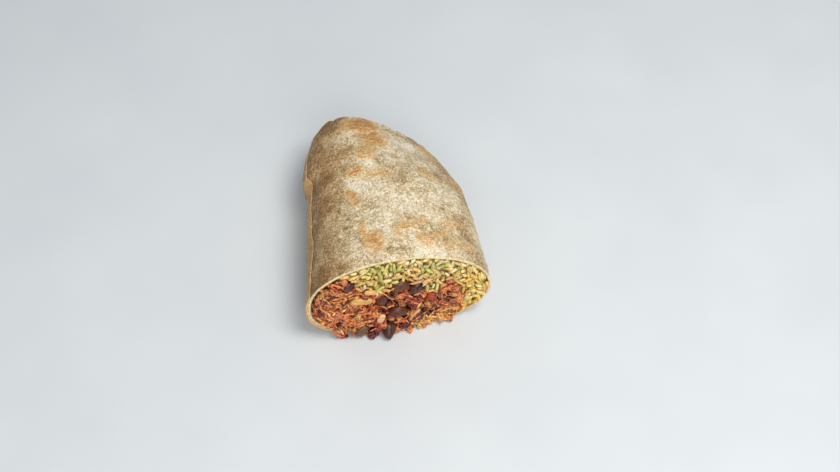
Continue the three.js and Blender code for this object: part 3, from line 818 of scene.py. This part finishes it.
rim_angles = np.linspace(0.0, 2.0 * np.pi, 721)
rim_lap = lap_inset(rim_angles, np.zeros_like(rim_angles))
rim_inside = roll_points(rim_angles, np.zeros_like(rim_angles), rim_lap + LAYER)
rim_polar = np.arctan2(rim_inside[:, 2] - WIDEST_HEIGHT, rim_inside[:, 0])
rim_order = np.argsort(rim_polar)
rim_polar = rim_polar[rim_order]
rim_reach = np.hypot(rim_inside[:, 0], rim_inside[:, 2] - WIDEST_HEIGHT)[rim_order]


def room_inside(x, z):
    """How far a point of the cut lies inside the wrap, along a line from the middle of the cut."""
    up = z - WIDEST_HEIGHT
    reach = np.interp(np.arctan2(up, x), rim_polar, rim_reach, period=2.0 * np.pi)
    return reach - np.hypot(x, up)


def meat_front(x, z):
    """Where the meat's surface lies: a little proud of the cut, and spilled over the rim at the bottom."""
    low = 1.0 - smooth(0.0, SPILL_HEIGHT, z)
    middle = 1.0 - smooth(8.0, 32.0, abs(x + 8.0))
    return -(MEAT_PROUD + SPILL * low * middle)


def turned(points, spin, tilt, turn):
    """Points turned about their own X axis, then tilted out of the cut, then turned in it, in radians."""
    for axis, angle in ((0, spin), (2, tilt), (1, turn)):
        a, b = [i for i in range(3) if i != axis]
        cos, sin = math.cos(angle), math.sin(angle)
        moved = points.copy()
        moved[:, a] = cos * points[:, a] - sin * points[:, b]
        moved[:, b] = sin * points[:, a] + cos * points[:, b]
        points = moved
    return points


def rod(length):
    """The two ends of a line along X, centred on the origin."""
    return np.array([[-length / 2, 0.0, 0.0], [length / 2, 0.0, 0.0]])


def strand(line, radius, sides, flat, tips):
    """Points and faces of a closed strand: flattened rings along a line, and a tip at each end."""
    angles = circle(sides)
    ring = np.stack([np.zeros(sides), np.cos(angles), np.sin(angles) * flat], axis=-1)
    points, faces = capped_rings(line[:, None] + ring[None] * radius[:, None, None], *tips)
    return points, [face[::-1] for face in faces]


class Heap:
    """Many small pieces joined as one mesh, each with its own colour."""

    def __init__(self):
        self.points = []
        self.faces = []
        self.tint = []
        self.count = 0

    def __len__(self):
        return len(self.tint)

    def add(self, points, faces, colour):
        self.points.append(points)
        self.faces.extend(tuple(i + self.count for i in face) for face in faces)
        self.tint.append(np.tile(np.asarray(colour, float), (len(points), 1)))
        self.count += len(points)

    def piece(self, name, material, slot):
        points = np.concatenate(self.points)
        return add_piece(name, points, self.faces, material, slot, np.concatenate(self.tint))


def spots(random, tries, across, upwards, in_zone):
    """Random places on the cut, in ranges of x and z, that lie in a zone."""
    for _ in range(tries):
        x = random.uniform(*across)
        z = random.uniform(*upwards)
        if in_zone(x, z):
            yield x, z


class Packing:
    """Rods already placed, each a line with a thickness, so that new ones can be kept off them."""

    # Rods whose middles are farther apart than this can't touch
    REACH = 14.0

    def __init__(self):
        self.rods = np.zeros((0, 7))

    def clear(self, start, end, radius, overlap):
        """Whether a new rod lies off all others, but for a share of overlap."""
        middles = (self.rods[:, :3] + self.rods[:, 3:6]) / 2
        rods = self.rods[np.linalg.norm(middles - (start + end) / 2, axis=1) < self.REACH]
        if not len(rods):
            return True
        steps = np.linspace(0.0, 1.0, 7)[:, None]
        here = start + (end - start) * steps
        there = rods[:, None, :3] + (rods[:, None, 3:6] - rods[:, None, :3]) * steps[None]
        away = np.linalg.norm(here[None, :, None] - there[:, None], axis=-1).min((1, 2))
        return bool(np.all(away > (rods[:, 6] + radius) * (1.0 - overlap)))

    def add(self, start, end, radius):
        self.rods = np.concatenate([self.rods, [[*start, *end, radius]]])


packing = Packing()


# Beans and onions

BEAN_LENGTH = 10.0
BEAN_WIDTH = 7.0
BEAN_THICKNESS = 5.6
BEAN_BEND = 0.04
BEANS = (
    {"at": (0.2, 0.5, 31.4), "turn": 28, "colour": (80, 42, 20)},
    {"at": (8.3, 0.0, 28.6), "turn": -20, "scale": 0.88, "tilt": 30, "colour": (56, 22, 22)},
    {"at": (-7.6, 0.7, 22.4), "turn": 80, "scale": 0.86, "colour": (84, 32, 22)},
    {"at": (-5.2, -4.1, 4.1), "turn": 35, "scale": 0.95, "tilt": 55, "colour": (60, 30, 22)},
    {"at": (-18.0, -2.6, 4.6), "turn": 60, "scale": 0.8, "colour": (96, 68, 50)},
    {"at": (-0.9, -1.2, 13.6), "turn": -15, "scale": 0.95, "colour": (76, 30, 28)},
    {"at": (-22.9, 0.6, 36.8), "turn": 40, "scale": 0.72, "colour": (72, 24, 30)},
)
ONION_THICKNESS = 1.7
ONIONS = (
    {"at": (-16.9, -0.9, 25.6), "size": (10.0, 4.8), "turn": -6, "curl": 0.03, "colour": (244, 184, 96)},
    {"at": (-9.0, -2.9, 11.8), "size": (6.4, 3.4), "turn": 75, "curl": 0.04, "colour": (246, 188, 140)},
    {"at": (-12.8, -1.1, 31.4), "size": (5.6, 2.4), "turn": -12, "curl": 0.04, "colour": (234, 186, 116)},
    {"at": (5.7, -2.3, 9.8), "size": (9.5, 1.7), "turn": 58, "curl": 0.04, "colour": (240, 176, 124)},
)


def ball(around, along):
    """Unit directions of a sphere with its poles on Z, and its faces."""
    lat = np.linspace(0.0, np.pi, along + 1)[1:-1, None]
    lon = circle(around)
    axes = np.broadcast_arrays(np.sin(lat) * np.cos(lon), np.sin(lat) * np.sin(lon), np.cos(lat))
    return capped_rings(np.stack(axes, axis=-1), (0.0, 0.0, 1.0), (0.0, 0.0, -1.0))


def laid(points, at, turn, tilt=0):
    """Points tilted and turned by degrees, and moved to their place on the cut."""
    return turned(points, 0.0, math.radians(tilt), math.radians(turn)) + np.array(at)


def bean_piece(number, at, turn, colour, tilt=0, scale=1.0):
    """A plump kidney with a wrinkled skin and the small scar on its inner side."""
    unit, faces = ball(56, 36)
    # The poles go to the bean's two ends
    unit = unit[:, [2, 0, 1]]
    half = np.array([BEAN_LENGTH, BEAN_THICKNESS, BEAN_WIDTH]) * scale / 2.0
    points = unit * half
    points[:, 2] -= BEAN_BEND * points[:, 0] ** 2 - BEAN_BEND * half[0] ** 2 / 3.0
    seed = 40.0 * number
    wrinkle = noise.at(points * np.array([0.5, 1.2, 1.2]) + seed, 1.7) * 0.14
    wrinkle = wrinkle + noise.at(points + seed, 4.0) * 0.3
    scar = np.exp(-((points[:, 0] / 1.3) ** 2) - ((points[:, 1] / 0.7) ** 2)) * (unit[:, 2] < 0) * 0.35
    points = points + unit * (wrinkle - scar)[:, None]
    points = laid(points, at, turn, tilt)
    piece = add_piece(f"black_bean_{number}", points, faces, BEAN, "bean", from_srgb(*colour))
    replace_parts(piece, f"bean_{number}")
    ends = laid(rod(half[0] * 1.1), at, turn, tilt)
    packing.add(ends[0], ends[1], half[2] * 0.92)


def onion_piece(number, at, size, turn, curl, colour):
    """A slip of a bulb's layer: thin, curved, with rounded ends."""
    unit, faces = ball(40, 28)
    unit = unit[:, [2, 0, 1]]
    boxy = np.sign(unit) * np.abs(unit) ** np.array([0.75, 0.45, 0.6])
    half = np.array([size[0], ONION_THICKNESS, size[1]]) / 2.0
    points = boxy * half
    x = points[:, 0].copy()
    points[:, 2] -= curl * x * x
    points[:, 1] += curl * x * x * 0.5
    points = points + unit * (0.16 * noise.at(points + 13.0 * number, 2.2))[:, None]
    points = laid(points, at, turn)
    piece = add_piece(f"onion_slip_{number}", points, faces, ONION, "onion", from_srgb(*colour))
    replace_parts(piece, f"onion_{number}")
    ends = laid(rod(half[0] * 1.6), at, turn)
    packing.add(ends[0], ends[1], half[2] * 0.95)


for number, bean in enumerate(BEANS, 1):
    bean_piece(number, **bean)
for number, onion in enumerate(ONIONS, 1):
    onion_piece(number, **onion)


# The cores behind the small pieces

CORE_BEHIND = 1.6


def hollow_core():
    """The tortilla's hollow as a solid whose front lies behind the loose pieces."""
    around, along = 72, 26
    angles = circle(around)[None, :]
    shares = np.linspace(0.0, 0.985, along)[:, None]
    inset = lap_inset(angles, shares) + LAYER + 0.25
    rings = roll_points(angles, shares, inset, END_WALL + 3.5, floor=inset)
    rings[0, :, 1] = CORE_BEHIND
    return capped_rings(rings, (0.0, CORE_BEHIND, WIDEST_HEIGHT), rings[-1].mean(0))


def core_pieces():
    """The hollow cut in two along the line between meat and rice."""
    points, faces = hollow_core()
    line = np.concatenate([meat_line, [(25.0, MEAT_FLOOR), (MEAT_LEFT, MEAT_FLOOR), (MEAT_LEFT, 54.0)]])
    count = len(line)
    front = np.stack([line[:, 0], np.full(count, -20.0), line[:, 1]], axis=-1)
    back = front + np.array([0.0, LENGTH + 60.0, 0.0])
    cutter_faces = [tuple(range(count)), tuple(range(2 * count - 1, count - 1, -1))]
    cutter_faces += [(i, i + count, (i + 1) % count + count, (i + 1) % count) for i in range(count)]
    cutter = new_object("meat_zone", new_mesh("meat_zone", np.concatenate([front, back]), cutter_faces))
    # Each core is coloured darker than the pieces in front of it: painted shade in the gaps between them
    for name, material, slot, operation, colour in (
        ("rice_core", RICE, "rice", "DIFFERENCE", (188, 152, 80)),
        ("meat_core", MEAT, "meat", "INTERSECT", (92, 34, 20)),
    ):
        piece = add_piece(name, points, faces, material, slot, smooth_shaded=False)
        cut = piece.modifiers.new("zone", "BOOLEAN")
        cut.operation = operation
        cut.object = cutter
        cut.solver = "EXACT"
        shaped = bpy.data.meshes.new_from_object(piece.evaluated_get(bpy.context.evaluated_depsgraph_get()))
        piece.modifiers.clear()
        piece.data = shaped
        set_tint(shaped, from_srgb(*colour))
        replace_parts(piece, slot)
    bpy.data.objects.remove(cutter)


core_pieces()


# Meat

# Overlap is the share of their thickness by which two pieces may run into each other
CRUMB_TRIES = 16000
CRUMB_LIMIT = 330
CRUMB_OVERLAP = 0.32
LARGE_CRUMB_SHARE = 0.3
SHRED_TRIES = 9000
SHRED_LIMIT = 440
SHRED_OVERLAP = 0.12
SHRED_RINGS = 12
SHRED_SIDES = 8
# Nothing that has spilled lies lower than this
SPILL_FLOOR = 0.02
MEAT_ACROSS = (-40.0, 32.0)

MEAT_COLOURS = {
    "orange": (228, 142, 74),
    "salmon": (218, 126, 84),
    "red": (180, 74, 38),
    "dark": (112, 34, 24),
    "plum": (94, 28, 24),
    "pink": (230, 146, 104),
    "tan": (242, 180, 106),
    "amber": (248, 196, 96),
}


# Strength, middle and half sizes of the ovals on the cut where dark pieces gather
DARK_MEAT = (
    (1.0, (2.0, 17.0, 11.0, 11.0)),
    (0.6, (19.0, 19.0, 6.0, 7.0)),
    (0.9, (-23.0, 34.0, 4.5, 6.0)),
)


def meat_colour(x, z, random):
    """A piece's colour by where it lies: orange on the left and at the bottom, dark in the middle. A name
    that stands twice in a row of names is drawn twice as often."""
    dark = sum(strength * near(x, z, *oval) for strength, oval in DARK_MEAT)
    if random.random() < dark * 0.85:
        names = ("dark", "plum", "dark", "plum", "red", "red", "pink", "pink")
    elif z < 12.0 and x > 3.0:
        names = ("orange", "orange", "tan", "tan", "amber")
    else:
        names = ("orange", "orange", "orange", "salmon", "salmon", "red", "dark", "tan")
    base = np.array(from_srgb(*MEAT_COLOURS[names[random.integers(len(names))]]))
    return base * random.uniform(0.8, 1.15)


def crumb_shape(random, radius):
    """An uneven crumb with a knobbly, fibrous surface."""
    unit, faces = ball(20, 14)
    stretch = np.array([random.uniform(0.9, 1.7), random.uniform(0.75, 1.05), random.uniform(0.7, 1.1)])
    seed = random.uniform(0.0, 900.0)
    here = unit * radius
    big = 0.26 * noise.at(unit * 2.0 + seed, 1.5)
    knobs = 0.16 * (1.0 - 2.0 * np.abs(noise.at(here + seed, 1.3)))
    fibre = 0.24 * noise.at(here * np.array([1.0, 3.5, 3.5]) + seed, 1.3)
    return unit * stretch * (radius * (0.9 + big + knobs + fibre))[:, None], faces


def shred_shape(random, length, thickness):
    """A fibre of meat: a tapering, kinked strand."""
    t = np.linspace(0.0, 1.0, SHRED_RINGS)
    seed = random.uniform(0.0, 900.0)
    line = np.stack([(t - 0.5) * length, t * 0.0, t * 0.0], axis=-1)
    path = line + seed
    line[:, 1] += 0.9 * noise.at(path, 3.5)
    line[:, 2] += 1.3 * noise.at(path + 55.0, 3.5) + random.uniform(-0.05, 0.05) * line[:, 0] ** 2
    radius = thickness / 2 * (0.25 + 0.75 * np.sin(np.pi * t) ** 0.5)
    radius = radius * (1 + 0.35 * noise.at(path + 99.0, 1.2))
    return strand(line, radius, SHRED_SIDES, random.uniform(0.5, 1.0), line[[0, -1]])


def crumb_heap(random):
    crumbs = Heap()
    for x, z in spots(random, CRUMB_TRIES, MEAT_ACROSS, (0.5, 46.0), in_meat):
        large = len(crumbs) < CRUMB_LIMIT * LARGE_CRUMB_SHARE
        radius = random.uniform(1.6, 2.6) if large else random.uniform(0.7, 1.5)
        over_rim = z < 4.0 and abs(x + 3.0) < 27.0
        if over_rim:
            radius = min(radius, 1.7)
        if not over_rim and room_inside(x, z) < radius * 0.95:
            continue
        y = meat_front(x, z) + random.uniform(0.0, 1.9)
        if over_rim:
            y = min(y, -radius * 0.8 - 0.2)
            z = max(z, radius * 0.8)
        spot = np.array([x, y, z])
        if not packing.clear(spot, spot + 0.01, radius, CRUMB_OVERLAP):
            continue
        points, faces = crumb_shape(random, radius)
        points = turned(points, *random.uniform(0.0, 2 * np.pi, 3)) + spot
        points[:, 2] = np.maximum(points[:, 2], SPILL_FLOOR)
        crumbs.add(points, faces, meat_colour(x, z, random))
        packing.add(spot, spot + 0.01, radius)
        if len(crumbs) == CRUMB_LIMIT:
            break
    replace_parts(crumbs.piece("meat_crumbs", MEAT, "meat"), "meat")


def shred_heap(random):
    shreds = Heap()
    for x, z in spots(random, SHRED_TRIES, MEAT_ACROSS, (1.0, 46.0), in_meat):
        if room_inside(x, z) < 1.5:
            continue
        length = random.uniform(3.0, 8.0)
        thickness = random.uniform(0.5, 1.4)
        spot = np.array([x, meat_front(x, z) - random.uniform(-0.2, 1.3), z])
        spin, tilt = random.uniform(0, 2 * np.pi), random.normal(0.0, 0.3)
        # Neighbouring shreds run much the same way
        turn = np.pi * float(noise.at(np.array([x, 400.0, z]), 9.0)) + random.normal(0.0, 0.35)
        ends = turned(rod(length), spin, tilt, turn) + spot
        if min(room_inside(end[0], end[2]) for end in ends) < 0.6 or ends[:, 2].min() < 0.5:
            continue
        if not large_pieces.clear(ends[0], ends[1], thickness / 2, SHRED_OVERLAP):
            continue
        points, faces = shred_shape(random, length, thickness)
        points = turned(points, spin, tilt, turn) + spot
        points[:, 2] = np.maximum(points[:, 2], SPILL_FLOOR)
        shreds.add(points, faces, meat_colour(x, z, random) * random.uniform(0.9, 1.3))
        if len(shreds) == SHRED_LIMIT:
            break
    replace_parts(shreds.piece("meat_shreds", MEAT, "meat"), "meat")


# Shreds may lie across crumbs, and are kept off the beans and onions alone
large_pieces = Packing()
large_pieces.rods = packing.rods
meat_random = np.random.default_rng(23)
crumb_heap(meat_random)
shred_heap(meat_random)


# Rice

GRAIN_TRIES = 60000
GRAIN_LENGTH = 5.4
GRAIN_THICKNESS = 1.75
GRAIN_OVERLAP = 0.34
GRAIN_RINGS = 8
GRAIN_SIDES = 9
BROKEN_SHARE = 0.22
BROKEN_LENGTH = 0.62
# Grains are kept off each other over this share of their length, as their ends taper
GRAIN_FULL_SHARE = 0.72

RICE_COLOURS = {
    "cream": (240, 214, 152),
    "straw": (234, 198, 118),
    "green": (222, 212, 126),
    "leaf": (200, 206, 110),
    "pale": (248, 232, 188),
    "stained": (230, 176, 104),
}


# Strength, middle and half sizes of the ovals on the cut where the rice is greener
GREEN_RICE = (
    (0.75, (-12.0, 46.0, 7.0, 5.0)),
    (0.4, (15.0, 42.0, 9.0, 5.0)),
)


def rice_colour(x, z, random):
    """Creamy yellow-green grains, greener at the top left and stained with sauce near the meat."""
    yellow = smooth(18.0, 34.0, x)
    green = 0.1 + sum(strength * near(x, z, *oval) for strength, oval in GREEN_RICE)
    if random.random() < 0.55 * math.exp(-to_meat_line(x, z) / 2.2):
        name = "stained"
    elif random.random() < green:
        name = ("green", "green", "leaf")[random.integers(3)]
    else:
        name = ("cream", "straw", "straw", "pale")[random.integers(4)]
    colour = np.array(from_srgb(*RICE_COLOURS[name])) * random.uniform(0.88, 1.08)
    return colour * (1.0 - yellow * np.array([0.0, 0.06, 0.32]))


def grain_shape(random, length, thickness):
    """A cooked long grain: blunt, slightly bent and flattened."""
    t = np.linspace(0.02, 0.98, GRAIN_RINGS)
    x = (t - 0.5) * length
    radius = thickness / 2 * np.sin(np.pi * t) ** random.uniform(0.32, 0.5)
    flat = random.uniform(0.78, 1.0)
    seed = random.uniform(0.0, 900.0)
    line = np.stack([x, x * 0.0, random.uniform(-0.03, 0.03) * x * x], axis=-1)
    radius = radius * (1.0 + 0.1 * noise.at(np.stack([x] * 3, -1) + seed, 1.2))
    tips = rod(length)
    tips[:, 2] = line[[0, -1], 2]
    return strand(line, radius, GRAIN_SIDES, flat, tips)


def rice_heap():
    random = np.random.default_rng(31)
    grains = Heap()
    for attempt in range(GRAIN_TRIES):
        x = random.uniform(-30.0, 41.0)
        z = random.uniform(3.0, 50.0)
        if in_meat(x, z) or room_inside(x, z) < 0.6:
            continue
        broken = random.random() < BROKEN_SHARE
        length = GRAIN_LENGTH * random.uniform(0.75, 1.12) * (BROKEN_LENGTH if broken else 1.0)
        thickness = GRAIN_THICKNESS * random.uniform(0.9, 1.1)
        # The front layer is placed first, and then what fills the gaps behind it
        depth = random.uniform(-0.6, 1.2) if attempt < GRAIN_TRIES * 0.5 else random.uniform(0.0, 3.4)
        spot = np.array([x, depth, z])
        spin, tilt, turn = random.uniform(0, 2 * np.pi), random.normal(0.0, 0.3), random.uniform(0, np.pi)
        ends = turned(rod(length), spin, tilt, turn) + spot
        inner = spot + (ends - spot) * GRAIN_FULL_SHARE
        if min(room_inside(end[0], end[2]) for end in ends) < 0.2:
            continue
        if not packing.clear(inner[0], inner[1], thickness / 2, GRAIN_OVERLAP):
            continue
        points, faces = grain_shape(random, length, thickness)
        points = turned(points, spin, tilt, turn) + spot
        grains.add(points, faces, rice_colour(x, z, random))
        packing.add(inner[0], inner[1], thickness / 2)
    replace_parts(grains.piece("rice_grains", RICE, "rice"), "rice")


rice_heap()


# Herbs

HERB_COUNT = 26
HERB_TRIES = 1000
HERB_COLOURS = ((140, 140, 66), (122, 120, 52), (172, 174, 92))


def herb_flecks():
    """Chopped leaf: thin curled scraps lying on the rice."""
    random = np.random.default_rng(43)
    scraps = Heap()
    for x, z in spots(random, HERB_TRIES, (-26.0, 40.0), (8.0, 49.0), off_meat):
        if room_inside(x, z) < 1.2:
            continue
        size = random.uniform(0.5, 1.3)
        side, across = 7, 5
        u, v = np.meshgrid(np.linspace(-1, 1, side), np.linspace(-1, 1, across), indexing="ij")
        curl = 0.25 * size * np.sin(2.2 * u + v)
        top = np.stack([u * size, curl, v * size * 0.55 * (1.1 - u * u)], axis=-1).reshape(-1, 3)
        bottom = top + np.array([0.0, 0.14, 0.0])
        count = len(top)
        faces = grid_faces(side, across, False)
        outline = [i * across for i in range(side)]
        outline += [(side - 1) * across + i for i in range(1, across)]
        outline += [i * across + across - 1 for i in range(side - 2, -1, -1)]
        outline += list(range(across - 2, 0, -1))
        sides = [(a, b, b + count, a + count) for a, b in zip(outline, outline[1:] + outline[:1])]
        under = [tuple(i + count for i in face[::-1]) for face in faces]
        faces = faces + under + [face[::-1] for face in sides]
        spin, tilt, turn = random.normal(0.0, 0.6), random.normal(0.0, 0.5), random.uniform(0, 2 * np.pi)
        spot = np.array([x, random.uniform(-1.2, -0.3), z])
        points = turned(np.concatenate([top, bottom]), spin, tilt, turn) + spot
        colour = np.array(from_srgb(*HERB_COLOURS[random.integers(3)])) * random.uniform(0.8, 1.2)
        scraps.add(points, faces, colour)
        if len(scraps) == HERB_COUNT:
            break
    piece = scraps.piece("herb_scraps", HERB, "rice")
    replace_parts(piece, "rice")


herb_flecks()


# Floor, light and camera

# The height in metres that the lamps face
LIT_HEIGHT = 0.02
FLOOR_HALF = 3.0
# Name, azimuth and elevation in degrees, distance and size in metres, power in watts, colour
LAMPS = (
    ("key", 40.0, 66.0, 0.9, 0.4, 5.1, (1.0, 0.95, 0.87)),
    ("front", 0.0, 32.0, 1.1, 0.6, 4.2, (1.0, 0.96, 0.9)),
    ("fill", -80.0, 35.0, 1.2, 0.9, 0.5, (1.0, 0.94, 0.82)),
)


def floor():
    mesh = bpy.data.meshes.new("floor")
    corners = [(FLOOR_HALF * x, FLOOR_HALF * y, 0.0) for x, y in ((-1, -1), (1, -1), (1, 1), (-1, 1))]
    mesh.from_pydata(corners, [], [(0, 1, 2, 3)])
    mesh.materials.append(floor_material())
    piece = new_object("floor", mesh)
    piece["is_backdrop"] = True


def aimed(name, data, azimuth, elevation, target, distance):
    """A lamp or camera that looks at target from a distance in metres. The angles are in degrees, and
    azimuth 0 is in front of the cut."""
    a = math.radians(azimuth)
    e = math.radians(elevation)
    back = Vector((math.sin(a) * math.cos(e), -math.cos(a) * math.cos(e), math.sin(e)))
    holder = new_object(name, data)
    holder.location = target + back * distance
    holder.rotation_mode = "QUATERNION"
    holder.rotation_quaternion = (-back).to_track_quat("-Z", "Y")
    return holder


def area_light(name, azimuth, elevation, distance, size, power, colour):
    """A soft square light that faces the middle of the roll."""
    light = bpy.data.lights.new(name, "AREA")
    light.size = size
    light.energy = power
    light.color = colour
    aimed(name, light, azimuth, elevation, Vector((0.0, 0.0, LIT_HEIGHT)), distance)


def camera():
    target = Vector((np.array(CAMERA_TARGET) - ORIGIN) * MM)
    data = bpy.data.cameras.new("camera")
    data.lens = CAMERA_LENS
    data.sensor_width = 36.0
    data.clip_start = 0.01
    data.clip_end = 20.0
    distance = CAMERA_DISTANCE * MM
    bpy.context.scene.camera = aimed("camera", data, CAMERA_AZIMUTH, CAMERA_ELEVATION, target, distance)


def world_light():
    world = bpy.data.worlds.new("room")
    world.use_nodes = True
    background = world.node_tree.nodes["Background"]
    background.inputs["Color"].default_value = (0.95, 0.97, 1.0, 1.0)
    background.inputs["Strength"].default_value = 0.34
    bpy.context.scene.world = world


floor()
for lamp in LAMPS:
    area_light(*lamp)
world_light()
camera()
bpy.context.scene.view_settings.view_transform = "Standard"

{"cad": cad_box, "visual": [list(corner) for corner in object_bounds()]}
